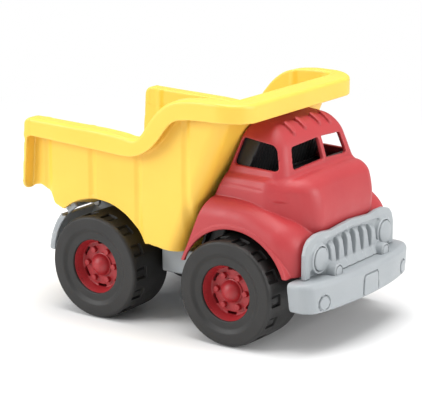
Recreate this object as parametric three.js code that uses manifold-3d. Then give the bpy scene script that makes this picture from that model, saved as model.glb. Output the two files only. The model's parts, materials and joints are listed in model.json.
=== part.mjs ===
// Toy dump truck, moulded plastic, in millimetres.
// Frame: +X to the front bumper, +Y to the truck's left side, +Z up.
// The origin is on the ground, under the middle of the overall length and width.
import * as THREE from 'three';
import { mergeVertices } from 'three/addons/utils/BufferGeometryUtils.js';
import Module from 'manifold-3d';

const wasm = await Module();
wasm.setup();

// ---- driving dimensions ----
const GAP = 0.3;                 // clearance between neighbouring pieces
const WALL = 2.6;                // moulded wall thickness
const HALF_LENGTH = 137;
const FRONT_AXLE_X = 59;
const REAR_AXLE_X = -65.5;
const AXLE_Z = 41.5;
const TREAD_RADIUS = 41.5;
const TYRE_INNER_Y = 38.7;
const TYRE_WIDTH = 46;
const WHEEL_ARCH_RADIUS = 49.6;
const AXLE_RADIUS = 4;
const HINGE = { x: -104, z: 78, pinRadius: 3, y: 26 };
const REAR_RAKE = 0.412;         // forward lean of the cab back and the bed front, dx per dz

const CHASSIS = { halfWidth: 28, top: 58, bottom: 29, front: 111.4, rear: -114 };
const FENDER = { radius: 54.5, halfWidth: 72.5, fromAngle: 134, toAngle: 176 };
const CAB = { rearX: 14, rearZ: 62, halfWidth: 75.5, frontX: 114, bottom: 58.4, belt: 129, roof: 166.4 };
const BED = { halfWidth: 76, frontX: 9, frontZ: 62, floorZ: 101.6, cornerRadius: 18 };
const RAIL = { halfWidth: 86.5, frontX: 74, height: 15, band: 2.6, cornerRadius: 24 };
const BUMPER = { halfWidth: 76, rearX: 109.5, bottom: 33, top: 57 };
const GRILLE = { halfWidth: 65.5, rearX: 114.4, frontX: 118.4, top: 90 };

const COLOURS = {
  red: 0xb8393c, darkRed: 0xb02a30, yellow: 0xfde069, grey: 0xb4bbc0, black: 0x3c3c3b,
};

// ---- solids ----
const toSolid = (geometry) => {
  const bare = geometry.clone();
  bare.deleteAttribute('normal');
  bare.deleteAttribute('uv');
  const merged = mergeVertices(bare, 1e-4);
  return new wasm.Manifold(new wasm.Mesh({
    numProp: 3,
    vertProperties: new Float32Array(merged.attributes.position.array),
    triVerts: new Uint32Array(merged.index.array),
  }));
};

const toGeometry = (solid) => {
  const mesh = solid.getMesh();
  const geometry = new THREE.BufferGeometry();
  geometry.setAttribute('position', new THREE.BufferAttribute(mesh.vertProperties, 3));
  geometry.setIndex(new THREE.BufferAttribute(mesh.triVerts, 1));
  geometry.computeVertexNormals();
  return geometry;
};

const join = (...solids) => solids.reduce((sum, solid) => sum.add(solid));
const cut = (solid, ...tools) => tools.reduce((rest, tool) => rest.subtract(tool), solid);
const common = (...solids) => solids.reduce((rest, solid) => rest.intersect(solid));
const mirrored = (make) => join(make(1), make(-1));

// A closed outline through [u, v, radius] corners; a radius rounds its corner.
const outline = (corners) => {
  const shape = new THREE.Shape();
  const point = (i) => new THREE.Vector2(...corners[(i + corners.length) % corners.length].slice(0, 2));
  const toward = (from, to, distance) => {
    const reach = Math.min(distance, from.distanceTo(to) / 2);
    return from.clone().add(to.clone().sub(from).setLength(reach));
  };
  corners.forEach(([, , radius = 0], i) => {
    const here = point(i);
    const start = radius ? toward(here, point(i - 1), radius) : here;
    if (i === 0) shape.moveTo(start.x, start.y);
    else shape.lineTo(start.x, start.y);
    if (radius) {
      const end = toward(here, point(i + 1), radius);
      shape.quadraticCurveTo(here.x, here.y, end.x, end.y);
    }
  });
  shape.closePath();
  return shape;
};

const extrude = (shape, depth, curveSegments) =>
  new THREE.ExtrudeGeometry(shape, { depth, bevelEnabled: false, curveSegments });

// An (x, z) side outline run across the truck from y0 to y1.
const sideRun = (shape, y0, y1, curveSegments = 4) =>
  toSolid(extrude(shape, y1 - y0, curveSegments).rotateX(Math.PI / 2).translate(0, y1, 0));

// A (y, z) front outline run along the truck from x0 to x1.
const TURN_TO_X = new THREE.Matrix4().makeBasis(
  new THREE.Vector3(0, 1, 0), new THREE.Vector3(0, 0, 1), new THREE.Vector3(1, 0, 0));
const frontRun = (shape, x0, x1, curveSegments = 4) =>
  toSolid(extrude(shape, x1 - x0, curveSegments).applyMatrix4(TURN_TO_X).translate(x0, 0, 0));

// An (x, y) plan outline run up from z0 to z1, leaning forward by rake from the height z0.
const planRun = (shape, z0, z1, rake = 0, curveSegments = 4) => {
  const lean = new THREE.Matrix4().makeShear(0, 0, 0, 0, rake, 0);
  return toSolid(extrude(shape, z1 - z0, curveSegments).applyMatrix4(lean).translate(0, 0, z0));
};

const box = (x0, x1, y0, y1, z0, z1) =>
  toSolid(new THREE.BoxGeometry(x1 - x0, y1 - y0, z1 - z0)
    .translate((x0 + x1) / 2, (y0 + y1) / 2, (z0 + z1) / 2));

// A round bar along Y from y0 to y1.
const barY = (x, z, radius, y0, y1, segments = 24) =>
  toSolid(new THREE.CylinderGeometry(radius, radius, y1 - y0, segments).translate(x, (y0 + y1) / 2, z));

// A round bar along X from x0 to x1.
const barX = (y, z, radius, x0, x1, segments = 20) =>
  toSolid(new THREE.CylinderGeometry(radius, radius, x1 - x0, segments)
    .rotateZ(Math.PI / 2).translate((x0 + x1) / 2, y, z));

// A closed [radius, height] profile turned about Y.
const turned = (profile, segments) =>
  toSolid(new THREE.LatheGeometry(profile.map(([r, h]) => new THREE.Vector2(r, h)), segments));

const roundedPlan = (x0, x1, halfWidth, radius) => outline([
  [x0, -halfWidth], [x1, -halfWidth, radius], [x1, halfWidth, radius], [x0, halfWidth]]);

// ---- wheels: every wheel is drawn with its inner face at y = 0 and its outer face up the y axis ----
const RIM = { barrel: 21, lip: 23, lipY: 41.4, discY: 31, discTop: 33, boss: 8 };

const tyreSolid = () => {
  const bore = RIM.barrel + GAP;
  const seat = RIM.lipY - 2.1 - GAP;
  const body = turned([
    [bore, 2], [24, 0.6], [37, 0], [40.3, 1.8], [TREAD_RADIUS, 5],
    [TREAD_RADIUS, TYRE_WIDTH - 5], [40.3, TYRE_WIDTH - 1.2], [37, TYRE_WIDTH],
    [31, TYRE_WIDTH - 0.9], [27, TYRE_WIDTH - 3.6], [RIM.lip + GAP, seat + 1.2],
    [RIM.lip + GAP, seat], [bore, seat], [bore, 2],
  ], 28);
  const pockets = 14;
  const pocket = (angle, y) => toSolid(new THREE.BoxGeometry(6, 7, 6)
    .translate(TREAD_RADIUS + 0.6, y, 0).rotateY(angle));
  const cuts = [];
  for (let i = 0; i < pockets; i += 1) {
    const angle = (i / pockets) * 2 * Math.PI;
    cuts.push(pocket(angle, TYRE_WIDTH - 9));
  }
  return cut(body, ...cuts);
};

const hubSolid = () => {
  const shell = turned([
    [AXLE_RADIUS + GAP, 6], [RIM.boss, 6], [RIM.boss, RIM.discY], [RIM.barrel - 3.2, RIM.discY],
    [RIM.barrel - 1.8, RIM.discY - 2], [RIM.barrel - 1.8, 4], [RIM.barrel, 4],
    [RIM.barrel, RIM.lipY - 2.1], [RIM.lip, RIM.lipY - 2.1], [RIM.lip, RIM.lipY - 0.6],
    [RIM.lip - 0.8, RIM.lipY], [RIM.barrel + 0.2, RIM.lipY], [RIM.barrel - 3.6, RIM.discTop],
    [AXLE_RADIUS + GAP, RIM.discTop], [AXLE_RADIUS + GAP, 6],
  ], 20);
  const nuts = [];
  const slots = [];
  for (let i = 0; i < 6; i += 1) {
    const angle = (i / 6) * 2 * Math.PI;
    nuts.push(toSolid(new THREE.CylinderGeometry(1.9, 1.9, 4, 6)
      .translate(13.5, RIM.discTop + 1.6, 0).rotateY(angle)));
    slots.push(toSolid(new THREE.BoxGeometry(1.8, 12, 6)
      .translate(16.4, RIM.discTop, 0).rotateY(angle + Math.PI / 6)));
  }
  return cut(join(shell, ...nuts), ...slots);
};

const hubCapSolid = () => turned([
  [0, 28 + GAP], [AXLE_RADIUS, 28 + GAP], [AXLE_RADIUS, RIM.discTop + GAP], [8.4, RIM.discTop + GAP],
  [8.4, 35], [6.8, 38], [0, 39.9],
], 16);

const truck = new THREE.Group();

const addMesh = (parent, name, solid, colour, roughness = 0.55) => {
  const material = new THREE.MeshStandardMaterial({ color: colour, roughness, metalness: 0 });
  const mesh = new THREE.Mesh(toGeometry(solid), material);
  mesh.name = name;
  parent.add(mesh);
};

const addAxleSet = (end, axleX) => {
  const tyre = tyreSolid();
  const hub = hubSolid();
  const cap = hubCapSolid();
  for (const [side, turn] of [['left', 0], ['right', Math.PI]]) {
    const wheel = new THREE.Group();
    wheel.position.set(axleX, turn ? -TYRE_INNER_Y : TYRE_INNER_Y, AXLE_Z);
    wheel.rotation.x = turn;
    addMesh(wheel, `${end}_${side}_tyre`, tyre, COLOURS.black, 0.8);
    addMesh(wheel, `${end}_${side}_hub`, hub, COLOURS.darkRed);
    addMesh(wheel, `${end}_${side}_hub_cap`, cap, COLOURS.darkRed);
    truck.add(wheel);
  }
  const axleEnd = TYRE_INNER_Y + 28;
  addMesh(truck, `${end}_axle`, barY(axleX, AXLE_Z, AXLE_RADIUS, -axleEnd, axleEnd, 20), COLOURS.grey);
};

// ---- chassis: an open-bottomed channel with axle bearings, hinge ears and rear fenders ----
const chassisSolid = () => {
  const { halfWidth, top, bottom, front, rear } = CHASSIS;
  const side = outline([[rear, 40, 4], [-100, bottom, 8], [front, bottom], [front, top - 4],
    [60, top], [rear, top, 4]]);
  const channel = cut(
    sideRun(side, -halfWidth, halfWidth),
    box(rear + WALL, front - WALL, -halfWidth + WALL, halfWidth - WALL, 0, top - WALL),
  );
  const bearings = [FRONT_AXLE_X, REAR_AXLE_X].map((x) => mirrored((s) => {
    const [y0, y1] = s > 0 ? [halfWidth - WALL, halfWidth + 6] : [-halfWidth - 6, -halfWidth + WALL];
    return barY(x, AXLE_Z, 8.5, y0, y1);
  }));
  const arc = (radius, from, to) => {
    const points = [];
    for (let i = 0; i <= 12; i += 1) {
      const angle = THREE.MathUtils.degToRad(from + ((to - from) * i) / 12);
      points.push([REAR_AXLE_X + radius * Math.cos(angle), AXLE_Z + radius * Math.sin(angle)]);
    }
    return points;
  };
  const { radius, fromAngle, toAngle } = FENDER;
  const skin = outline([...arc(radius, fromAngle, toAngle), ...arc(radius - WALL, toAngle, fromAngle)]);
  const web = outline([[REAR_AXLE_X, AXLE_Z], ...arc(radius, fromAngle, toAngle)]);
  const ear = outline([[HINGE.x - 7, top - 3], [HINGE.x - 7, HINGE.z + 7, 6],
    [HINGE.x + 7, HINGE.z + 7, 6], [HINGE.x + 12, top - 3]]);
  const sides = mirrored((s) => {
    const [y0, y1] = s > 0 ? [halfWidth, FENDER.halfWidth] : [-FENDER.halfWidth, -halfWidth];
    const [w0, w1] = s > 0 ? [halfWidth - 1, halfWidth + WALL] : [-halfWidth - WALL, -halfWidth + 1];
    const [e0, e1] = s > 0 ? [HINGE.y + GAP, halfWidth + WALL] : [-halfWidth - WALL, -HINGE.y - GAP];
    return join(sideRun(skin, y0, y1), sideRun(web, w0, w1), sideRun(ear, e0, e1));
  });
  const pads = box(-4, 13, -22, 22, top - 1, BED.frontZ - GAP);
  const holes = [FRONT_AXLE_X, REAR_AXLE_X].map((x) => barY(x, AXLE_Z, AXLE_RADIUS + GAP, -60, 60));
  const pinHole = barY(HINGE.x, HINGE.z, HINGE.pinRadius + GAP, -60, 60, 16);
  return cut(join(channel, ...bearings, sides, pads), ...holes, pinHole);
};

// ---- bumper: a curved beam, open underneath, with two buttons and a blank plate ----
const bumperPlan = (inset) => {
  const { halfWidth, rearX } = BUMPER;
  const front = HALF_LENGTH - inset;
  const w = halfWidth - inset;
  const back = rearX + inset;
  return outline([[back, -w], [front - 19, -w, 8], [front - 7.5, -66, 12], [front - 2.6, -42, 14],
    [front, -16, 10], [front, 16, 10], [front - 2.6, 42, 14], [front - 7.5, 66, 12], [front - 19, w, 8],
    [back, w]]);
};

const bumperSolid = () => {
  const { bottom, top, rearX } = BUMPER;
  const beam = cut(
    planRun(bumperPlan(0), bottom, top),
    planRun(bumperPlan(WALL), bottom - 1, top - WALL),
    box(rearX - 1, CHASSIS.front + GAP, -CHASSIS.halfWidth - GAP, CHASSIS.halfWidth + GAP, 0, 60),
  );
  const buttons = mirrored((s) => barX(s * 58.7, 41, 5.3, 126, 131.9, 16));
  const plate = frontRun(outline([[-11, 36, 2], [11, 36, 2], [9, 51, 2], [-9, 51, 2]]), 135, HALF_LENGTH);
  return join(beam, buttons, plate);
};

// ---- grille: a plate with a raised frame, six upright bars, two headlamps and two fog lamps ----
const grilleOutline = (inset) => {
  const w = GRILLE.halfWidth - inset;
  const top = GRILLE.top - inset;
  const bottom = BUMPER.top + GAP;
  return outline([[-w, bottom], [-w, top - 7, 8], [-w + 15, top, 8], [w - 15, top, 8], [w, top - 7, 8],
    [w, bottom]]);
};

const grilleSolid = () => {
  const { rearX, frontX } = GRILLE;
  const plate = cut(
    frontRun(grilleOutline(0), rearX, frontX),
    frontRun(grilleOutline(5), rearX + 1.8, frontX + 1),
  );
  const bars = [];
  for (let i = 0; i < 6; i += 1) {
    const y = (i - 2.5) * 11.4;
    const top = 83 - 0.004 * y * y;
    bars.push(frontRun(outline([[y - 2.6, BUMPER.top + GAP], [y + 2.6, BUMPER.top + GAP],
      [y + 2.6, top, 2.4], [y - 2.6, top, 2.4]]), rearX + 1, frontX + 0.8, 3));
  }
  const lamps = mirrored((s) => join(
    barX(s * 48.2, 70.8, 10, rearX + 1, frontX + 1.4, 24),
    barX(s * 48.2, 70.8, 8.4, rearX + 1, frontX + 3, 24),
    barX(s * 35, 62.9, 5.5, rearX + 1, 129, 20),
  ));
  return join(plate, ...bars, lamps);
};

// ---- cab: one moulding, open at the back and underneath ----
// The inset draws the same form smaller, for the hollow inside.
const cabForm = (inset) => {
  const lean = (z) => CAB.rearX + REAR_RAKE * (z - CAB.rearZ);
  const back = inset ? -30 : 0;
  const low = inset ? CAB.bottom - 20 : CAB.bottom;
  const cabin = common(
    sideRun(outline([[lean(110) + back, 110], [lean(CAB.roof - inset) + back, CAB.roof - inset, 6],
      [72, CAB.roof - inset, 10], [91 - inset, 158 - inset, 8], [88.6 - inset, 150], [95.4 - inset, 131],
      [97 - inset, 110]]), -60, 60),
    frontRun(outline([[-60 + inset, 105], [-52.5 + inset, CAB.belt + 2], [-46 + inset, 155],
      [-38 + inset, CAB.roof - inset, 12], [38 - inset, CAB.roof - inset, 12], [46 - inset, 155],
      [52.5 - inset, CAB.belt + 2], [60 - inset, 105]]), -40, 120),
    planRun(outline([[-40, -60], [90.5 - inset, -60, 14], [97 - inset, 0, 20], [90.5 - inset, 60, 14],
      [-40, 60]]), 100, 170),
  );
  const belt = common(
    sideRun(outline([[lean(low) + back, low], [lean(124) + back, 124 - inset], [90 - inset, 124 - inset, 10],
      [100 - inset, 100], [100 - inset, low]]), -66, 66),
    frontRun(outline([[-65 + inset, low], [-65 + inset, 108], [-57 + inset, 124 - inset, 6],
      [57 - inset, 124 - inset, 6], [65 - inset, 108], [65 - inset, low]]), -40, 120),
  );
  const hood = common(
    sideRun(outline([[60, low], [60, 127 - inset], [103 - inset, 127 - inset, 10], [114.2 - inset, 112, 12],
      [CAB.frontX - inset, 90], [CAB.frontX - inset, low]]), -60, 60),
    frontRun(outline([[-48 + inset, low], [-46 + inset, 108], [-30 + inset, 127 - inset, 16],
      [30 - inset, 127 - inset, 16], [46 - inset, 108], [48 - inset, low]]), 40, 130),
  );
  const fenderTop = outline([[lean(low) + back, low], [lean(109.6) + back, 109.6 - inset, 2],
    [52, 109.6 - inset, 8], [66, 108.8 - inset, 8], [81 - inset / 3, 104.6 - inset, 8],
    [94 - inset / 2, 98.6 - inset, 6], [105 - inset / 2, 94 - inset, 6],
    [CAB.frontX - inset, 90.4 - inset, 2], [CAB.frontX - inset, low]]);
  const fenders = common(
    sideRun(fenderTop, -CAB.halfWidth + inset, CAB.halfWidth - inset),
    frontRun(outline([[-CAB.halfWidth + inset, low], [-CAB.halfWidth + inset, 97], [-62, 112],
      [62, 112], [CAB.halfWidth - inset, 97], [CAB.halfWidth - inset, low]]), -40, 130),
  );
  return join(cabin, belt, hood, fenders);
};

const cabSolid = () => {
  const shell = cut(cabForm(0), cabForm(WALL));
  const arch = barY(FRONT_AXLE_X, AXLE_Z + 1.3, WHEEL_ARCH_RADIUS, -90, 90, 40);
  const arches = cut(arch, box(0, 120, -36, 36, 0, 100));
  const sideWindow = sideRun(
    outline([[44.9, 133.2, 3], [84.8, 132, 4], [79.2, 150.3, 8], [50.5, 153.8, 4]]), -70, 70);
  const panes = mirrored((s) => frontRun(
    outline([[s * 2.5, 134, 1], [s * 38.6, 131.6, 3], [s * 34.6, 148, 3], [s * 2.5, 150.4, 1]]), 78, 110));
  const chassisRoom = box(0, 120, -CHASSIS.halfWidth - 1, CHASSIS.halfWidth + 1, 0, CHASSIS.top + 1);
  return cut(shell, arches, sideWindow, panes, chassisRoom);
};

// ---- cab interior: a dark insert with a raked ribbed back and a ledge at sill height ----
const interiorSolid = () => {
  const z0 = 66;
  const z1 = 160;
  const lean = (z) => CAB.rearX + 1 + REAR_RAKE * (z - CAB.rearZ);
  const back = sideRun(outline([[lean(z0), z0], [lean(z0) + 2.4, z0], [lean(z1) + 2.4, z1], [lean(z1), z1]]),
    -60, 60);
  const room = frontRun(outline([[-56, z0], [-56, 105], [-48.6, 131], [-42, 155], [-34, z1, 4],
    [34, z1, 4], [42, 155], [48.6, 131], [56, 105], [56, z0]]), -40, 120);
  const ledge = box(lean(127) + 1, 86, -44, 44, 126.4, 128.6);
  const ribs = [];
  for (let y = -33; y <= 33; y += 6) {
    ribs.push(sideRun(outline([[lean(z0) + 2, z0 + 1], [lean(z0) + 3.4, z0 + 1], [lean(z1) + 3.4, z1 - 1],
      [lean(z1) + 2, z1 - 1]]), y - 0.7, y + 0.7));
  }
  return common(join(back, ledge, ...ribs), room);
};

// ---- dump bed: a thin-walled tub, open at the tail, with a hollow rail all round the top ----
// The rail's top line runs level from the tail, dips, then climbs to the raised front.
const railLine = (drop) => {
  const curve = new THREE.CurvePath();
  const at = (x, z) => new THREE.Vector3(x, z - drop, 0);
  const low = at(-130, 154);
  const dip = at(-50, 152);
  const dipEnd = at(-18 + drop * 0.42, 151);
  const climb = at(4 + drop * 0.5, 177);
  const high = at(38, 186);
  curve.add(new THREE.LineCurve3(at(-HALF_LENGTH - 10, 154), low));
  curve.add(new THREE.LineCurve3(low, dip));
  curve.add(new THREE.CubicBezierCurve3(dip, at(-34, 150.6), at(-27, 144 + drop * 0.15), dipEnd));
  curve.add(new THREE.LineCurve3(dipEnd, climb));
  curve.add(new THREE.CubicBezierCurve3(climb, at(14, 184.5 - drop * 0.15), at(26, 186), high));
  curve.add(new THREE.LineCurve3(high, at(90, 184.5)));
  return curve.curves.flatMap((piece, i) => piece.getPoints(i === 2 || i === 4 ? 6 : 1).slice(i ? 1 : 0))
    .map((p) => [p.x, p.y]);
};

const bedSolid = () => {
  const { halfWidth, frontX, frontZ, floorZ, cornerRadius } = BED;
  const topZ = 190;
  const lean = (z) => frontX + REAR_RAKE * (z - frontZ);
  const tub = (inset) => {
    const w = halfWidth - inset;
    const front = planRun(roundedPlan(-75, frontX - inset * 1.08, w, cornerRadius - inset / 2), frontZ, topZ,
      REAR_RAKE);
    const rear = box(-HALF_LENGTH - inset, -15, -w, w, frontZ, topZ);
    return join(front, rear);
  };
  const walls = cut(tub(0), tub(WALL));
  const floor = common(tub(0), box(-HALF_LENGTH, 60, -90, 90, floorZ - WALL, floorZ));

  // Everything under the rail's top line, lowered by drop.
  const under = (drop) => sideRun(outline([...railLine(drop), [90, 0], [-200, 0]]), -90, 90);
  const plan = (frontFace, side, radius) =>
    planRun(roundedPlan(-HALF_LENGTH - 5, frontFace, side, radius), 50, 200);
  const outer = plan(RAIL.frontX, RAIL.halfWidth, RAIL.cornerRadius);
  const bandInside = plan(
    RAIL.frontX - RAIL.band, RAIL.halfWidth - RAIL.band, RAIL.cornerRadius - RAIL.band);
  const mouth = plan(lean(183) - WALL, halfWidth - WALL, cornerRadius);
  const band = common(cut(under(0), under(RAIL.height)), cut(outer, bandInside));
  const cap = common(cut(under(0), under(RAIL.band)), cut(outer, mouth));

  // The skirts stop at a line that rises to the tail, with a round arch over each rear wheel.
  const arch = barY(-67.5, 42.5, 51.8, -90, 90, 40);
  const lower = sideRun(outline([[-150, 30], [-150, 92], [-136, 95], [-125, 99, 6], [-114, 91, 3],
    [-111, 84.5, 2], [-98, 79], [-67, 50], [-30, 62], [frontX + 4, frontZ - 0.1], [40, 30]]), -90, 90);
  const skirts = cut(common(walls, under(0)), arch, lower);

  const tailPosts = mirrored((s) => {
    const [y0, y1] = s > 0 ? [halfWidth - 1, RAIL.halfWidth] : [-RAIL.halfWidth, -halfWidth + 1];
    const post = outline([
      [-HALF_LENGTH - 1, 95.4, 2], [-HALF_LENGTH + 3.4, 95.4, 2], [-128.6, 152], [-134, 152]]);
    return sideRun(post, y0, y1);
  });
  const lugs = mirrored((s) => {
    const [y0, y1] = s > 0 ? [HINGE.y - 6, HINGE.y] : [-HINGE.y, -HINGE.y + 6];
    return sideRun(outline([[HINGE.x - 8, floorZ - 1], [HINGE.x - 7, HINGE.z - 7, 7],
      [HINGE.x + 7, HINGE.z - 7, 7], [HINGE.x + 8, floorZ - 1]]), y0, y1);
  });
  const behindTail = sideRun(outline([[-160, 60], [-HALF_LENGTH, 94], [-132, 156], [-160, 160]]), -100, 100);
  const pinHole = barY(HINGE.x, HINGE.z, HINGE.pinRadius + GAP + 0.1, -60, 60, 16);
  return cut(join(skirts, floor, band, cap, tailPosts, lugs), behindTail, pinHole);
};

addMesh(truck, 'chassis', chassisSolid(), COLOURS.grey);
addMesh(truck, 'bumper', bumperSolid(), COLOURS.grey);
addMesh(truck, 'grille', grilleSolid(), COLOURS.grey);
addMesh(truck, 'cab_shell', cabSolid(), COLOURS.red);
addMesh(truck, 'cab_interior', interiorSolid(), COLOURS.black, 0.7);
addMesh(truck, 'dump_bed', bedSolid(), COLOURS.yellow);
for (const [side, s] of [['left', 1], ['right', -1]]) {
  const [y0, y1] = s > 0 ? [HINGE.y - 7, HINGE.y + 6] : [-HINGE.y - 6, -HINGE.y + 7];
  addMesh(truck, `${side}_bed_pin`, barY(HINGE.x, HINGE.z, HINGE.pinRadius, y0, y1, 16), COLOURS.grey);
}
addAxleSet('front', FRONT_AXLE_X);
addAxleSet('rear', REAR_AXLE_X);

export default truck;
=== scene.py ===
"""Toy dump truck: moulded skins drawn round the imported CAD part, in its own frame.

Each skin is the zero surface of a distance field. Lengths in the fields are millimetres in the frame
of the part: +X to the front bumper, +Y to the left side, +Z up, with the ground at z = 0.
"""

import json
import math

import bpy
import numpy as np
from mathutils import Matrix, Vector

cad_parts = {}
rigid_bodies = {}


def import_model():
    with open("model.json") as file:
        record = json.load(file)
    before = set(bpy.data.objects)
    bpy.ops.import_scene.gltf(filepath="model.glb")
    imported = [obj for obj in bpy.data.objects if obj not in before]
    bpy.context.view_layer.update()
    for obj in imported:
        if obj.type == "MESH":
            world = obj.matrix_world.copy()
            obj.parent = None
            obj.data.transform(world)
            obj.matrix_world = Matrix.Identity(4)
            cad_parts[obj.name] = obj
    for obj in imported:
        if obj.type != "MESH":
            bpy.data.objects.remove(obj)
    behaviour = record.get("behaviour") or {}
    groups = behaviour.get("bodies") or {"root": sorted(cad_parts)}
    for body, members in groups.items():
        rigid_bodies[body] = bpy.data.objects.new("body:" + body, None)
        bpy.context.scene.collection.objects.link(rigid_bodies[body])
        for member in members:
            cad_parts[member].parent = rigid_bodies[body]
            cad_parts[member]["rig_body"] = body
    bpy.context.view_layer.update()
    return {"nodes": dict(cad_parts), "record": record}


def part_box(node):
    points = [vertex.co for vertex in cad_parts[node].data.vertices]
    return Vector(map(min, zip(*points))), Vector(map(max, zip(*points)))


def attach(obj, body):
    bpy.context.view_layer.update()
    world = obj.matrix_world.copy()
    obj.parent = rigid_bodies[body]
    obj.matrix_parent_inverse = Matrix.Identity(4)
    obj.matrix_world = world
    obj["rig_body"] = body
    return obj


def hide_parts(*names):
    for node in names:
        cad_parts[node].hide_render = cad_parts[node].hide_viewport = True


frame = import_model()

MM = 0.001
COARSE = 1.0


def span(node):
    """The lowest and highest corners of a CAD node, in millimetres."""
    low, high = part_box(node)
    return np.array(low) / MM, np.array(high) / MM


BED_LOW, BED_HIGH = span("dump_bed")
CAB_LOW, CAB_HIGH = span("cab_shell")
BUMPER_LOW, BUMPER_HIGH = span("bumper")
GRILLE_LOW = span("grille")[0]
CHASSIS_LOW, CHASSIS_HIGH = span("chassis")
TYRE_LOW, TYRE_HIGH = span("front_left_tyre")
REAR_TYRE_LOW, REAR_TYRE_HIGH = span("rear_left_tyre")

AXLE_Z = (TYRE_LOW[2] + TYRE_HIGH[2]) / 2
FRONT_AXLE_X = (TYRE_LOW[0] + TYRE_HIGH[0]) / 2
REAR_AXLE_X = (REAR_TYRE_LOW[0] + REAR_TYRE_HIGH[0]) / 2
TREAD_RADIUS = (TYRE_HIGH[2] - TYRE_LOW[2]) / 2
TYRE_WIDTH = TYRE_HIGH[1] - TYRE_LOW[1]
HINGE_X, HINGE_Z = ((a + b) / 2 for a, b in zip(*(s[[0, 2]] for s in span("left_bed_pin"))))
RAKE = 0.412
RAKE_SCALE = 1 / math.hypot(1, RAKE)
WALL = 2.6


# ---- distance fields: negative inside, and joined or trimmed with rounded edges ----
def both(a, b, radius=0.6):
    return (np.minimum(-radius, np.maximum(a, b))
            + np.hypot(np.maximum(a + radius, 0), np.maximum(b + radius, 0)))


def either(a, b, radius=0.6):
    return -both(-a, -b, radius)


def less(a, b, radius=0.6):
    return both(a, -b, radius)


def slab(value, low, high):
    return np.abs(value - (low + high) / 2) - (high - low) / 2


def ease(t):
    t = np.clip(t, 0, 1)
    return t * t * (3 - 2 * t)


class Outline:
    """A closed outline drawn from corners (u, v) or (u, v, radius), looked up as a distance.

    A radius is cut down where a side is too short for it.
    """

    CELL = 0.4
    MARGIN = 9

    def __init__(self, corners):
        points = self.rounded(corners)
        self.low = points.min(0) - self.MARGIN
        shape = np.ceil((points.max(0) + self.MARGIN - self.low) / self.CELL).astype(int) + 1
        u = self.low[0] + self.CELL * np.arange(shape[0])[:, None]
        v = self.low[1] + self.CELL * np.arange(shape[1])[None, :]
        nearest = np.full(shape, 1e9)
        inside = np.zeros(shape, bool)
        for (au, av), (bu, bv) in zip(points, np.roll(points, -1, axis=0)):
            eu, ev = bu - au, bv - av
            t = np.clip(((u - au) * eu + (v - av) * ev) / (eu * eu + ev * ev + 1e-12), 0, 1)
            nearest = np.minimum(nearest, (u - au - t * eu) ** 2 + (v - av - t * ev) ** 2)
            if ev:
                inside ^= ((av > v) != (bv > v)) & (u < au + (v - av) * eu / ev)
        self.table = np.where(inside, -1, 1) * np.sqrt(nearest)

    @staticmethod
    def rounded(corners):
        points = []
        for i, corner in enumerate(corners):
            here = np.array(corner[:2], float)
            if len(corner) == 2:
                points.append(here)
                continue
            before = np.array(corners[i - 1][:2], float) - here
            after = np.array(corners[(i + 1) % len(corners)][:2], float) - here
            long_before, long_after = np.linalg.norm(before), np.linalg.norm(after)
            half = 0.5 * math.acos(np.clip(before @ after / (long_before * long_after), -1, 1))
            reach = corner[2] / math.tan(half)
            start = here + before / long_before * min(reach, 0.499 * long_before)
            end = here + after / long_after * min(reach, 0.499 * long_after)
            for t in np.linspace(0, 1, 9):
                points.append((1 - t) ** 2 * start + 2 * t * (1 - t) * here + t * t * end)
        return np.array(points)

    def __call__(self, u, v):
        top = np.array(self.table.shape) - 1.001
        gu, gv = (u - self.low[0]) / self.CELL, (v - self.low[1]) / self.CELL
        cu, cv = np.clip(gu, 0, top[0]), np.clip(gv, 0, top[1])
        beyond = np.hypot(gu - cu, gv - cv) * self.CELL
        iu, iv = cu.astype(int), cv.astype(int)
        fu, fv = cu - iu, cv - iv
        row = self.table[iu, iv] * (1 - fu) + self.table[iu + 1, iv] * fu
        next_row = self.table[iu, iv + 1] * (1 - fu) + self.table[iu + 1, iv + 1] * fu
        return row * (1 - fv) + next_row * fv + beyond


# ---- from a field to a mesh ----
def surface(field, low, high, step):
    """Points and four-sided faces of a field's zero surface, one point in each grid cell it crosses."""
    low = np.array(low, float) - 2 * step
    count = np.ceil((np.array(high) + 2 * step - low) / step).astype(int) + 1
    grid = np.meshgrid(*(low[k] + step * np.arange(count[k]) for k in range(3)), indexing="ij", sparse=True)
    values = np.broadcast_to(field(*grid), count)
    inside = values < 0
    owners, places, faces = [], [], []
    units = np.eye(3, dtype=int)
    for axis in range(3):
        unit, across, along = units[axis], units[(axis + 1) % 3], units[(axis + 2) % 3]
        first = tuple(slice(0, count[k] - unit[k]) for k in range(3))
        second = tuple(slice(unit[k], count[k]) for k in range(3))
        index = np.argwhere(inside[first] != inside[second])
        a = values[first][tuple(index.T)]
        b = values[second][tuple(index.T)]
        place = index + np.outer(a / (a - b), unit)
        ring = [index - i * across - j * along for i, j in ((0, 0), (1, 0), (1, 1), (0, 1))]
        ids = np.stack([np.ravel_multi_index(tuple(cell.T), count - 1) for cell in ring], 1)
        owners.append(ids.ravel())
        places.append(np.repeat(place, 4, axis=0))
        faces.append(np.where((a < 0)[:, None], ids, ids[:, ::-1]))
    used, inverse = np.unique(np.concatenate(owners), return_inverse=True)
    places = np.concatenate(places)
    share = np.bincount(inverse)
    points = np.stack([np.bincount(inverse, places[:, k]) / share for k in range(3)], 1)
    return low + step * points, np.searchsorted(used, np.concatenate(faces))


def slope(field, points, reach):
    x, y, z = points.T
    return np.stack([
        field(x + reach, y, z) - field(x - reach, y, z),
        field(x, y + reach, z) - field(x, y - reach, z),
        field(x, y, z + reach) - field(x, y, z - reach),
    ], 1) / (2 * reach)


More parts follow.
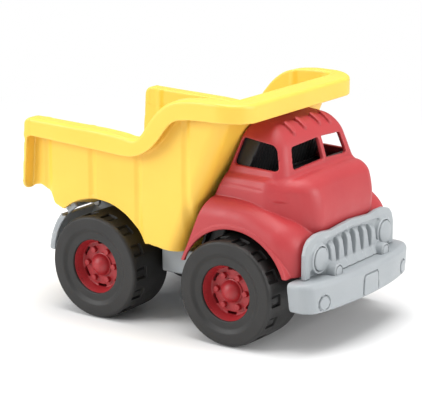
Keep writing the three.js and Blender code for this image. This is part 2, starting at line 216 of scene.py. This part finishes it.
def settle(field, points, step, passes):
    """Moves points along the slope of the field on to its zero surface."""
    for _ in range(passes):
        rise = slope(field, points, 0.1)
        move = field(*points.T) / np.maximum((rise * rise).sum(1), 0.25)
        points = points - np.clip(move, -step / 2, step / 2)[:, None] * rise
    return points


def thinned(mesh, keep):
    """The mesh with its flat areas drawn in fewer, larger faces."""
    carrier = bpy.data.objects.new("carrier", mesh)
    bpy.context.scene.collection.objects.link(carrier)
    modifier = carrier.modifiers.new("thin", "DECIMATE")
    modifier.ratio = keep
    graph = bpy.context.evaluated_depsgraph_get()
    result = bpy.data.meshes.new_from_object(carrier.evaluated_get(graph))
    bpy.data.objects.remove(carrier)
    bpy.data.meshes.remove(mesh)
    return result


def skin_mesh(name, field, low, high, step, keep):
    step *= COARSE
    points, faces = surface(field, low, high, step)
    points = settle(field, points, step, 2)
    mesh = bpy.data.meshes.new(name)
    mesh.from_pydata((points * MM).tolist(), [], faces.tolist())
    mesh = thinned(mesh, keep)
    mesh.name = name
    points = np.empty(len(mesh.vertices) * 3)
    mesh.vertices.foreach_get("co", points)
    points = settle(field, points.reshape(-1, 3) / MM, step, 1)
    mesh.vertices.foreach_set("co", (points * MM).ravel())
    mesh.shade_smooth()
    rise = slope(field, points, 0.3)
    rise /= np.maximum(np.linalg.norm(rise, axis=1), 1e-6)[:, None]
    mesh.normals_split_custom_set_from_vertices(rise.tolist())
    mesh.update()
    return mesh


# ---- materials ----
def tint(code):
    """A web colour as linear red, green and blue."""
    channels = [int(code[i:i + 2], 16) / 255 for i in (0, 2, 4)]
    return [c / 12.92 if c <= 0.04045 else ((c + 0.055) / 1.055) ** 2.4 for c in channels] + [1]


def noise(tree, where, scale, detail, low, high):
    """A noise pattern stretched to run from low to high."""
    pattern = tree.nodes.new("ShaderNodeTexNoise")
    pattern.inputs["Scale"].default_value = scale
    pattern.inputs["Detail"].default_value = detail
    tree.links.new(where, pattern.inputs["Vector"])
    stretch = tree.nodes.new("ShaderNodeMapRange")
    stretch.inputs["From Min"].default_value = 0.3
    stretch.inputs["From Max"].default_value = 0.7
    stretch.inputs["To Min"].default_value = low
    stretch.inputs["To Max"].default_value = high
    tree.links.new(pattern.outputs["Fac"], stretch.inputs["Value"])
    return stretch.outputs["Result"]


# The edge colour is a painted highlight, laid on sharp convex edges.
def moulded(name, colour, shade, edge, roughness, grain):
    """Moulded plastic: cloudy colour, sharp convex edges made paler by a painted highlight, uneven gloss and
    a fine grain.
    """
    material = bpy.data.materials.new(name)
    material.use_nodes = True
    tree = material.node_tree
    shader = tree.nodes["Principled BSDF"]
    where = tree.nodes.new("ShaderNodeTexCoord").outputs["Object"]
    clouds = tree.nodes.new("ShaderNodeMix")
    clouds.data_type = "RGBA"
    clouds.inputs[6].default_value = tint(colour)
    clouds.inputs[7].default_value = tint(shade)
    tree.links.new(noise(tree, where, 22, 4, 0, 0.7), clouds.inputs[0])
    # Painted highlight: where the surface is pointy (sharp convex edges) the colour is mixed towards the
    # pale edge colour, as if light caught the edges.
    corner = tree.nodes.new("ShaderNodeNewGeometry").outputs["Pointiness"]
    edge_highlight_mask = tree.nodes.new("ShaderNodeMapRange")
    edge_highlight_mask.inputs["From Min"].default_value = 0.52
    edge_highlight_mask.inputs["From Max"].default_value = 0.62
    edge_highlight_mask.inputs["To Max"].default_value = 0.35
    tree.links.new(corner, edge_highlight_mask.inputs["Value"])
    edge_highlight_mix = tree.nodes.new("ShaderNodeMix")
    edge_highlight_mix.data_type = "RGBA"
    edge_highlight_mix.inputs[7].default_value = tint(edge)
    tree.links.new(edge_highlight_mask.outputs["Result"], edge_highlight_mix.inputs[0])
    tree.links.new(clouds.outputs[2], edge_highlight_mix.inputs[6])
    tree.links.new(edge_highlight_mix.outputs[2], shader.inputs["Base Color"])
    tree.links.new(noise(tree, where, 70, 3, roughness - 0.05, roughness + 0.07), shader.inputs["Roughness"])
    bump = tree.nodes.new("ShaderNodeBump")
    bump.inputs["Strength"].default_value = grain
    bump.inputs["Distance"].default_value = 0.0002
    tree.links.new(noise(tree, where, 1400, 2, 0, 1), bump.inputs["Height"])
    tree.links.new(bump.outputs["Normal"], shader.inputs["Normal"])
    shader.inputs["Specular IOR Level"].default_value = 0.5
    return material


# The fourth colour of each finish is its painted edge highlight, a paler tint laid on sharp convex edges.
FINISHES = {
    "red_plastic": moulded("red_plastic", "B5393D", "AD3338", "CC6365", 0.45, 0.25),
    "hub_red_plastic": moulded("hub_red_plastic", "A02329", "981E24", "B8454A", 0.42, 0.2),
    "yellow_plastic": moulded("yellow_plastic", "F8CB50", "F5C446", "FFE596", 0.4, 0.2),
    "grey_plastic": moulded("grey_plastic", "A3A8AB", "9AA0A4", "C0C4C7", 0.42, 0.25),
    "black_plastic": moulded("black_plastic", "1C1D1E", "161718", "343637", 0.45, 0.3),
    "tyre_plastic": moulded("tyre_plastic", "1D1C1B", "181716", "302F2E", 0.5, 0.4),
}


SLOTS = {part["node"]: part["material_slot"] for part in frame["record"]["subparts"]}


def finish_of(node):
    """The material slot the record gives a CAD node, and the finish that goes with it."""
    return SLOTS[node], FINISHES[SLOTS[node]]


def body_of(node):
    return frame["nodes"][node]["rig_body"]


def show(node, mesh, place=(0, 0, 0), turn=0.0):
    """Puts a mesh in place of a CAD node, on the body that node belongs to."""
    skin = bpy.data.objects.new(f"{node}_skin", mesh)
    bpy.context.scene.collection.objects.link(skin)
    skin.location = Vector(place) * MM
    skin.rotation_euler[2] = turn
    slot, finish = finish_of(node)
    if not mesh.materials:
        mesh.materials.append(finish)
    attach(skin, body_of(node))
    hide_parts(node)
    return skin


# ---- wheels: drawn with the inner face at y = 0 and the axle along y ----
POCKETS = 14
NUTS = 6
RIM_RADIUS = 21.4
DISC_Y = 34.8
LIP_RADIUS = 23.1
LIP_Y = 42.8


def around(x, z, count, shift=0.0):
    """Angle from the nearest of count evenly spaced spokes, in radians; shift 0.5 puts one on +X."""
    turn = np.arctan2(z, x) / (2 * math.pi) * count + shift
    return (turn - np.floor(turn) - 0.5) * 2 * math.pi / count


def tyre_field(x, y, z):
    r = np.hypot(x, z)
    dish = 1.7 * ease((31.5 - r) / 4.5)
    crown = TREAD_RADIUS - 0.001 * (y - TYRE_WIDTH / 2) ** 2
    shoulder = ((r - 39.6) * 4 + (y - TYRE_WIDTH) * 2.6) / 4.77
    body = both(both(r - crown, y - TYRE_WIDTH + dish, 1.2), shoulder, 1.0)
    body = both(both(body, -y, 5), RIM_RADIUS + 0.2 - r, 0.8)
    arc = r * around(x, z, POCKETS, 0.5)
    notch = both(both(np.abs(arc) - 4.6, slab(y, 31.5, 42.6), 1), crown - 2.1 - r, 0.4)
    pad = both(both(np.abs(arc) - 2.6, slab(y, 33.6, 48), 1), r - crown + 1.1, 0.4)
    return less(body, less(notch, pad, 0.3), 0.4)


def hub_field(x, y, z):
    r = np.hypot(x, z)
    barrel = both(r - RIM_RADIUS, slab(y, 4, LIP_Y - 1), 0.5)
    lip = both(r - LIP_RADIUS, slab(y, LIP_Y - 2.4, LIP_Y), 0.8)
    body = either(barrel, lip, 0.5)
    mouth = both(r - 18.8 - 0.36 * (y - DISC_Y), DISC_Y - y, 1)
    back = both(r - 19.2, y - DISC_Y + 2.2, 1)
    body = less(less(body, mouth, 0.6), back, 0.6)
    boss = both(r - 8, slab(y, 6, DISC_Y), 0.6)
    body = either(body, boss, 0.8)
    off = around(x, z, NUTS, 0.5)
    nut = np.hypot(r * np.cos(off) - 13, r * np.sin(off)) - 2.3
    nut = both(nut, slab(y, DISC_Y - 1, DISC_Y + 3.4), 0.6)
    body = either(body, nut, 0.5)
    # the slots lie halfway between the nuts
    slot = both(np.abs(r - 17.6) - 1, np.abs(r * around(x, z, NUTS)) - 4, 0.8)
    slot = both(slot, slab(y, DISC_Y - 5, DISC_Y + 1.5), 0.3)
    body = less(body, slot, 0.3)
    return less(body, r - 4.3, 0.3)


def cap_field(x, y, z):
    r = np.hypot(x, z)
    dome = both(np.sqrt(x * x + (y - DISC_Y + 1.6) ** 2 + z * z) - 9, DISC_Y + 0.2 - y, 0.3)
    foot = both(r - 9.6, slab(y, DISC_Y + 0.2, DISC_Y + 1), 0.4)
    stem = both(r - 4, slab(y, 28.5, DISC_Y + 1), 0.4)
    return either(either(dome, foot, 0.6), stem, 0.1)


def add_wheels():
    reach = TREAD_RADIUS + 1
    tyre = skin_mesh("tyre", tyre_field, (-reach, 0, -reach), (reach, TYRE_WIDTH, reach), 0.8, 0.5)
    hub = skin_mesh("hub", hub_field, (-25, 3, -25), (25, LIP_Y, 25), 0.65, 0.6)
    cap = skin_mesh("hub_cap", cap_field, (-10, 28, -10), (10, LIP_Y, 10), 0.45, 0.9)
    for end, axle_x in (("front", FRONT_AXLE_X), ("rear", REAR_AXLE_X)):
        for side, sign in (("left", 1), ("right", -1)):
            place = (axle_x, sign * TYRE_LOW[1], AXLE_Z)
            turn = 0 if sign > 0 else math.pi
            show(f"{end}_{side}_tyre", tyre, place, turn)
            show(f"{end}_{side}_hub", hub, place, turn)
            show(f"{end}_{side}_hub_cap", cap, place, turn)


# ---- dump bed ----
BED_FACE = 76
BED_FLOOR = 101.6
BED_TOP = Outline([
    (-160, 154.6), (-132, 154.2, 99), (-56, 152.2, 99), (-36, 150.8, 99), (-26, 148.4, 99),
    (-18.5, 151.5, 99), (-9.5, 165.5, 99), (2, 177.5, 99), (14, 184, 99), (34, 186.2, 99),
    (52, 186, 99), (95, 183), (95, 40), (-160, 40)])
BED_BAND = Outline([
    (-160, 160), (-60, 160), (-20, 200), (95, 200), (95, 168.5), (60, 171.2, 99), (34, 171, 99),
    (15, 169, 99), (8, 163.5, 99), (-1, 151.5, 99), (-9, 143.5, 99), (-18, 137.8, 99),
    (-30, 134.8, 99), (-50, 136.2, 99), (-160, 141.5)])
BED_LOWER = Outline([
    (-160, 94), (-137, 95.2), (-125, 99.5, 5), (-115, 93, 4), (-111, 85, 3), (-101, 80.6), (-67, 50),
    (-25, 64), (-19, 66.2, 2), (9, BED_LOW[2] + 0.3), (110, BED_LOW[2] + 0.3), (110, 260), (-160, 260)])
FLUTES = (-117, -72, -27, 18)
BED_ARCH_X, BED_ARCH_Z, BED_ARCH_RADIUS = REAR_AXLE_X - 2, AXLE_Z + 1, 51.8
LINING_TAIL_X = -91


def bed_field(x, y, z):
    side = np.abs(y)
    front = (x - 9 - RAKE * (z - 62)) * RAKE_SCALE
    tail = ((z - 94) * 5 / 62 - x + BED_LOW[0]) * 0.997
    flute = sum(0.7 + 0.7 * np.cos(math.pi * np.clip((x - at) / 5, -1, 1)) for at in FLUTES)
    outer = both(front, side - BED_FACE + flute, 12)
    inner = both(front + WALL, side - BED_FACE + WALL + flute, 10)
    under = both(BED_TOP(x, z), tail, 7)
    above = BED_LOWER(x, z)
    arch = np.hypot(x - BED_ARCH_X, z - BED_ARCH_Z)

    panel = both(less(outer, inner, 0.5), under, 0.7)
    panel = less(both(panel, above, 0.7), arch - BED_ARCH_RADIUS, 0.7)
    floor = both(both(slab(z, BED_FLOOR - WALL, BED_FLOOR), outer + 1.3, 0.3), tail, 0.9)
    lining = np.clip(BED_ARCH_RADIUS - 0.22 * (BED_FACE - 1 - side), 47, BED_ARCH_RADIUS)
    well = both(lining - arch, arch - BED_ARCH_RADIUS - WALL, 0.6)
    well = both(well, slab(side, 31.4, BED_FACE - 1), 0.8)
    well = both(both(well, z - BED_FLOOR + 1, 0.3), LINING_TAIL_X - x, 0.5)
    bed = either(either(panel, floor, 2), both(well, above, 0.5), 1.2)

    plan = both(x - BED_HIGH[0], side - BED_HIGH[1], 24)
    room = both(x - BED_HIGH[0] + WALL, side - BED_HIGH[1] + WALL, 21.4)
    rail = less(both(plan, under, 3.2), inner, 1.6)
    hollow = both(less(room, outer, 0.6), under + WALL, 1.2)
    rail = both(less(rail, hollow, 0.5), BED_BAND(x, z), 0.7)
    post = both(both(side - BED_HIGH[1], 95.2 - z, 8), both(slab(tail, -3.6, 0), 75 - side, 0.5), 0.9)
    flange = both(either(rail, both(post, under + 1, 0.5), 4), plan, 0.9)
    bed = either(bed, both(flange, tail, 0.9), 0.8)

    lug = np.hypot(x - HINGE_X, z - np.clip(z, HINGE_Z, BED_FLOOR)) - 7
    lug = less(both(lug, slab(side, 20, 26), 0.6), np.hypot(x - HINGE_X, z - HINGE_Z) - 3.5, 0.4)
    lug = both(lug, z - BED_FLOOR + 1, 0.1)
    return both(either(bed, lug, 1), tail, 0.9)


# ---- cab ----
FENDER_TOP = Outline([
    (-40, 109.6), (50, 109.6, 99), (66, 108.8, 99), (81, 104.6, 99), (94, 98.6, 99), (105, 94, 99),
    (130, 84), (130, 30), (-40, 30)])
SIDE_WINDOW = Outline([(44.9, 133.2, 3), (84.8, 132, 3), (79.2, 150.4, 8), (50.5, 153.8, 3.5)])
WINDSCREEN_PANE = Outline([(2.2, 134.3, 1.5), (38.8, 131.2, 3), (34.6, 148, 3.5), (2.3, 150.6, 1.5)])
ROOF_RIBS = (10.3, 25.5)
CAB_WALL = 3.5
ARCH_X, ARCH_Z, ARCH_RADIUS = FRONT_AXLE_X + 1.5, AXLE_Z + 0.8, 47


def cab_form(x, y, z):
    """The outside of the cab, before its back is trimmed."""
    side = np.abs(y)
    crown = CAB_HIGH[2] - 0.2 - 0.0012 * side ** 2 - 0.0045 * np.maximum(0, x - 50) ** 2
    wall = (side - 52.8 + 0.27 * (z - 131)) * 0.965
    screen = (x - 94.6 + 0.31 * (z - 134.3) + 0.13 * side) / 1.055
    cabin = both(both(both(wall, screen, 9.5), z - crown, 12), 112 - z, 0.5)

    door = both((side - 58.2 - 0.16 * (122 - z)) * 0.98, z - 126.4, 3.5)
    door = both(door, x - 88, 12)
    narrowing = ease((x - 74) / 42)
    hood = (side - 59.5 + 13.5 * narrowing) * (1 - 0.07 * narrowing)
    nose = x - CAB_HIGH[0] - 0.6 + 0.0104 * (z - 100) ** 2
    hood = both(both(hood, nose, 12), z - 129.2 + 0.0014 * side ** 2, 9)
    body = either(either(cabin, door, 2.5), hood, 3)

    corner = both(side - CAB_HIGH[1], x - CAB_HIGH[0], 21)
    fender = both(corner, FENDER_TOP(x, z), 15)
    body = either(body, fender, 0.9)
    arch = np.hypot(x - ARCH_X, z - ARCH_Z)
    lip = both(both(arch - ARCH_RADIUS - 3.8, side - CAB_HIGH[1] - 0.8, 0.7), 60 - side, 0.5)
    body = either(body, lip, 0.5)
    for at in ROOF_RIBS:
        rib = np.hypot(x - np.clip(x, 75, 81), side - at) - 2.2
        body = either(body, both(both(rib, cabin - 2.9, 0.8), 150 - z, 0.3), 0.3)
    seam = np.abs(z - 119.8 + 0.04 * (x - 37)) + 0.5 * np.maximum(0, np.abs(x - 55) - 19)
    return body + 0.5 * (1 - ease(seam / 1.7)) * ease((side - 50) / 3)


def cab_back(x, z):
    """Ahead of the bed's front wall, and steeper above the belt."""
    return (14 + RAKE * (np.minimum(z, 124) - 62) + 0.3 * np.maximum(0, z - 124) - x) * RAKE_SCALE


def cab_field(x, y, z):
    side = np.abs(y)
    form = cab_form(x, y, z)
    outer = both(both(form, cab_back(x, z), 1.8), CAB_LOW[2] - z, 0.8)
    shell = less(outer, form + CAB_WALL, 0.5)
    arch = np.hypot(x - ARCH_X, z - ARCH_Z)
    shell = less(shell, both(arch - ARCH_RADIUS, 36 - side, 0.5), 0.8)
    shell = less(shell, both(SIDE_WINDOW(x, z), 30 - side, 0.5), 0.9)
    shell = less(shell, both(WINDSCREEN_PANE(side, z), 70 - x, 0.5), 0.9)
    return less(shell, both(side - 28.8, z - 59.2, 0.5), 0.4)


def interior_field(x, y, z):
    side = np.abs(y)
    ahead = -cab_back(x, z)
    ribs = 0.9 * np.abs(np.sin(y * math.pi / 4.6))
    back = either(slab(ahead, 0.9, 3.6), both(slab(ahead - ribs, 2, 14), side - 50, 1.5), 1)
    ledge = both(slab(z, 118, 120.4), x - 86, 0.6)
    ledge = either(ledge, both(slab(z, 118, 130.6), slab(x, 82, 86), 0.8), 1)
    room = both(both(cab_form(x, y, z) + CAB_WALL + 0.3, slab(z, 66.5, 160), 0.5), side - 55.6, 0.5)
    return both(both(either(back, ledge, 0.8), room, 0.5), 0.9 - ahead, 0.3)


# ---- grille and bumper ----
GRILLE_EDGE = Outline([
    (-20, 57.3), (65.4, 57.3), (65.3, 76, 5), (62.8, 82.6, 4), (58.6, 86.8, 4), (50, 89.2, 8), (40, 89.2, 8),
    (28, 88, 10), (16, 89, 10), (0, 90), (-20, 90)])
GRILLE_FIELD = Outline([
    (-20, 50), (58.2, 50), (58.2, 76, 4), (53.8, 80.6, 4), (44, 81.8, 6), (30, 82.6, 6), (0, 84), (-20, 84)])
FIN_GAP = 12.1
LAMP = (47.5, 70.3)
FOG_LAMP = (34.9, 59.2)


def grille_field(x, y, z):
    side = np.abs(y)
    back, front = GRILLE_LOW[0], 118.4
    plate = both(GRILLE_EDGE(side, z), slab(x, back, front), 0.9)
    plate = less(plate, both(GRILLE_FIELD(side, z), front - 2 - x, 0.6), 0.8)
    bay = both(both(side - 33.2, z - 82 + 0.003 * side ** 2, 2), 114.9 + 0.4 - x, 0.4)
    plate = less(plate, bay, 0.6)
    offset = np.abs(np.mod(side, FIN_GAP) - FIN_GAP / 2)
    fin_top = 83.4 - 0.0038 * side ** 2
    slope_out = 0.005 * np.maximum(0, z - 62) ** 2 - 0.5 * np.maximum(0, 64 - z)
    fin = both(both(x - 121.6 + slope_out, z - fin_top, 5.5), 114.6 - x, 0.3)
    flare = 2.7 + 1.9 * ease((80 - z) / 22)
    fin = both(both(offset - flare, side - 33.2, 0.3), fin, 1.1)
    apron = both(both(side - 38, z - 63.4, 2), both(x - 121 + slope_out, 114.6 - x, 0.3), 1.5)
    fin = either(fin, apron, 1.6)
    plate = either(plate, both(fin, 57.4 - z, 0.3), 0.5)
    lamp = np.hypot(side - LAMP[0], z - LAMP[1])
    ring = both(lamp - 11.2, slab(x, back + 1, 120.8), 0.8)
    plate = less(either(plate, ring, 3), both(lamp - 9.6, 118.2 - x, 0.3), 0.3)
    lens = both(lamp - 8.8, x - 122.8 + 0.016 * lamp ** 2, 0.8)
    plate = either(plate, both(lens, back + 1 - x, 0.3), 0.1)
    fog = np.hypot(side - FOG_LAMP[0], z - FOG_LAMP[1])
    barrel = both(fog - 6.1 - 2.4 * ease((122 - x) / 5), slab(x, back + 1, 129.2), 1)
    barrel = less(barrel, both(slab(fog, 4.1, 4.9), 128.3 - x, 0.2), 0.2)
    plate = either(plate, barrel, 0.5)
    return both(plate, 54.5 - z, 0.3)


PLATE = Outline([(-10.8, 35.2, 2.5), (10.8, 35.2, 2.5), (9.4, 50.8, 2.5), (-9.4, 50.8, 2.5)])


def bumper_field(x, y, z):
    side = np.abs(y)
    low, high = BUMPER_LOW[2], BUMPER_HIGH[2]
    bow = BUMPER_HIGH[0] - 7.4 * (side / 66) ** 2.4
    face = (x - bow) * 0.97
    end = side - BUMPER_HIGH[1] - 1.8 + 0.19 * (high - z)
    beam = both(both(face, end, 9), z - high, 4.5)
    solid = both(both(beam, low - z, 4), BUMPER_LOW[0] - x, 1)
    hollow = both(beam + WALL, BUMPER_LOW[0] - 4 - x, 0.3)
    shell = less(solid, hollow, 0.6)
    shell = less(shell, both(side - 28.3, x - 111.8, 0.3), 0.3)
    button = np.hypot(side - 58.6, z - 41)
    disc = both(button - 5, slab(face, -2, 0.5), 0.5)
    shell = less(shell, both(slab(button, 4, 6.1), -1.2 - face, 0.2), 0.2)
    rim = PLATE(y, z)
    plate = both(rim, slab(face, -2, 0.5), 0.6)
    shell = less(shell, both(slab(rim, -1, 1.1), -1.2 - face, 0.2), 0.2)
    return either(either(shell, disc, 0.2), plate, 0.2)


# ---- chassis ----
FENDER_RADIUS = 54.5
FENDER_ANGLES = (121, 176)
WEB_ANGLES = (60, 176)
STEP_X, STEP_HALF_WIDTH, STEP_Z = (-21.6, 15), 54, (39, 59.4)
CHANNEL_SIDE = Outline([
    (CHASSIS_LOW[0], 40, 4), (-100, 29, 8), (111.4, 29), (111.4, 54, 2), (60, 58), (-112, 58, 3)])


def sector(x, z, from_angle, to_angle):
    """Negative between two directions from the rear axle, turning from +X towards +Z."""
    px, pz = x - REAR_AXLE_X, z - AXLE_Z
    a, b = math.radians(from_angle), math.radians(to_angle)
    start = math.sin(a) * px - math.cos(a) * pz
    stop = math.cos(b) * pz - math.sin(b) * px
    return both(start, stop, 0.8)


def chassis_field(x, y, z):
    side = np.abs(y)
    inside = both(both(slab(x, -111, 108.8), side - 25.4, 1.5), z - 55.4, 1.5)
    channel = less(both(CHANNEL_SIDE(x, z), side - 28, 1.6), inside, 0.5)
    rear = np.hypot(x - REAR_AXLE_X, z - AXLE_Z)
    front = np.hypot(x - FRONT_AXLE_X, z - AXLE_Z)
    bearing = both(np.minimum(rear, front) - 8.5, slab(side, 25.6, 34), 0.8)
    outside = CHASSIS_HIGH[1]
    skin = both(slab(rear, FENDER_RADIUS - WALL, FENDER_RADIUS), slab(side, 28, outside), 0.9)
    rim = both(slab(rear, FENDER_RADIUS - 5, FENDER_RADIUS), slab(side, outside - 2.4, outside), 0.8)
    fender = both(either(skin, rim, 0.8), sector(x, z, *FENDER_ANGLES), 0.8)
    web = both(both(rear - 50.5, slab(side, 27, 30.6), 0.6), sector(x, z, *WEB_ANGLES), 0.8)
    fender = either(fender, web, 1)
    ear = np.hypot(x - HINGE_X, z - np.clip(z, 50, HINGE_Z)) - 7
    ear = both(ear, slab(side, 26.35, 30.6), 0.6)
    rest = both(both(slab(x, -4, 13), side - 22, 1), slab(z, 56, 61.6), 0.6)
    step = both(both(slab(x, *STEP_X), side - STEP_HALF_WIDTH, 2), slab(z, *STEP_Z), 1.5)
    frame_rail = either(either(channel, bearing, 1), fender, 0.8)
    frame_rail = either(frame_rail, step, 0.8)
    frame_rail = either(either(frame_rail, ear, 0.8), rest, 0.8)
    holes = np.minimum(np.minimum(rear, front) - 4.35, np.hypot(x - HINGE_X, z - HINGE_Z) - 3.3)
    return less(frame_rail, holes, 0.3)


def add_fixed_skins():
    for node, field, step, keep, margin in (
        ("dump_bed", bed_field, 1.25, 0.45, 2),
        ("cab_shell", cab_field, 1.0, 0.6, 2),
        ("cab_interior", interior_field, 1.2, 0.4, 2),
        ("grille", grille_field, 0.75, 0.5, 2),
        ("bumper", bumper_field, 1.05, 0.5, 2),
        ("chassis", chassis_field, 1.3, 0.4, 8),
    ):
        low, high = span(node)
        show(node, skin_mesh(node, field, low - margin, high + margin, step, keep))


def finish_carried_nodes(names):
    """CAD nodes that stay as they are: small round bars, given a softened edge and a finish."""
    for name in names:
        node = frame["nodes"][name]
        node.data.materials.clear()
        node.data.materials.append(finish_of(name)[1])
        edge = node.modifiers.new("edge", "BEVEL")
        edge.width = 0.4 * MM
        edge.segments = 2
        edge.limit_method = "ANGLE"
        edge.angle_limit = math.radians(50)


# ---- stage, light and camera ----
def add_floor():
    mesh = bpy.data.meshes.new("floor")
    corners = [(-6, -6, 0), (6, -6, 0), (6, 6, 0), (-6, 6, 0)]
    mesh.from_pydata(corners, [], [(0, 1, 2, 3)])
    floor = bpy.data.objects.new("floor", mesh)
    bpy.context.scene.collection.objects.link(floor)
    material = bpy.data.materials.new("studio_floor")
    material.use_nodes = True
    tree = material.node_tree
    shader = tree.nodes["Principled BSDF"]
    shader.inputs["Base Color"].default_value = (0.9, 0.9, 0.9, 1)
    shader.inputs["Roughness"].default_value = 0.9
    glow = tree.nodes.new("ShaderNodeEmission")
    far = tree.nodes.new("ShaderNodeVectorMath")
    far.operation = "LENGTH"
    tree.links.new(tree.nodes.new("ShaderNodeTexCoord").outputs["Object"], far.inputs[0])
    fade = tree.nodes.new("ShaderNodeMapRange")
    fade.inputs["From Min"].default_value = 0.25
    fade.inputs["From Max"].default_value = 0.9
    tree.links.new(far.outputs["Value"], fade.inputs["Value"])
    mix = tree.nodes.new("ShaderNodeMixShader")
    tree.links.new(fade.outputs["Result"], mix.inputs[0])
    tree.links.new(shader.outputs[0], mix.inputs[1])
    tree.links.new(glow.outputs[0], mix.inputs[2])
    tree.links.new(mix.outputs[0], tree.nodes["Material Output"].inputs["Surface"])
    mesh.materials.append(material)


def add_light(name, place, target, size, power):
    data = bpy.data.lights.new(name, "AREA")
    data.size = size
    data.energy = power
    lamp = bpy.data.objects.new(name, data)
    bpy.context.scene.collection.objects.link(lamp)
    lamp.location = place
    lamp.rotation_euler = (Vector(target) - Vector(place)).to_track_quat("-Z", "Y").to_euler()


def add_studio():
    add_floor()
    world = bpy.data.worlds.new("studio")
    bpy.context.scene.world = world
    world.use_nodes = True
    tree = world.node_tree
    backdrop = tree.nodes["Background"]
    backdrop.inputs["Color"].default_value = (1, 1, 1, 1)
    seen = tree.nodes.new("ShaderNodeLightPath").outputs["Is Camera Ray"]
    strength = tree.nodes.new("ShaderNodeMapRange")
    strength.inputs["To Min"].default_value = 0.45
    strength.inputs["To Max"].default_value = 1.05
    tree.links.new(seen, strength.inputs["Value"])
    tree.links.new(strength.outputs["Result"], backdrop.inputs["Strength"])
    add_light("overhead", (0, 0, 1.4), (0, 0, 0.05), 1.2, 20)
    add_light("left", (-0.95, -1.25, 0.75), (0, 0, 0.08), 0.8, 16)
    add_light("right", (1.5, 0.35, 0.6), (0, 0, 0.08), 0.7, 12)
    bpy.context.scene.view_settings.view_transform = "Standard"


def add_camera(azimuth, elevation, distance, target, lens):
    data = bpy.data.cameras.new("camera")
    data.lens = lens
    camera = bpy.data.objects.new("camera", data)
    bpy.context.scene.collection.objects.link(camera)
    a, e = math.radians(azimuth), math.radians(elevation)
    away = Vector((math.sin(a) * math.cos(e), -math.cos(a) * math.cos(e), math.sin(e)))
    camera.location = (Vector(target) + distance * away) * MM
    camera.rotation_euler = (-away).to_track_quat("-Z", "Y").to_euler()
    bpy.context.scene.camera = camera


add_wheels()
add_fixed_skins()
finish_carried_nodes(("front_axle", "rear_axle", "left_bed_pin", "right_bed_pin"))
add_studio()
add_camera(azimuth=35.05, elevation=14.38, distance=1422.8, target=(-12, 0, 84.5), lens=151.6)
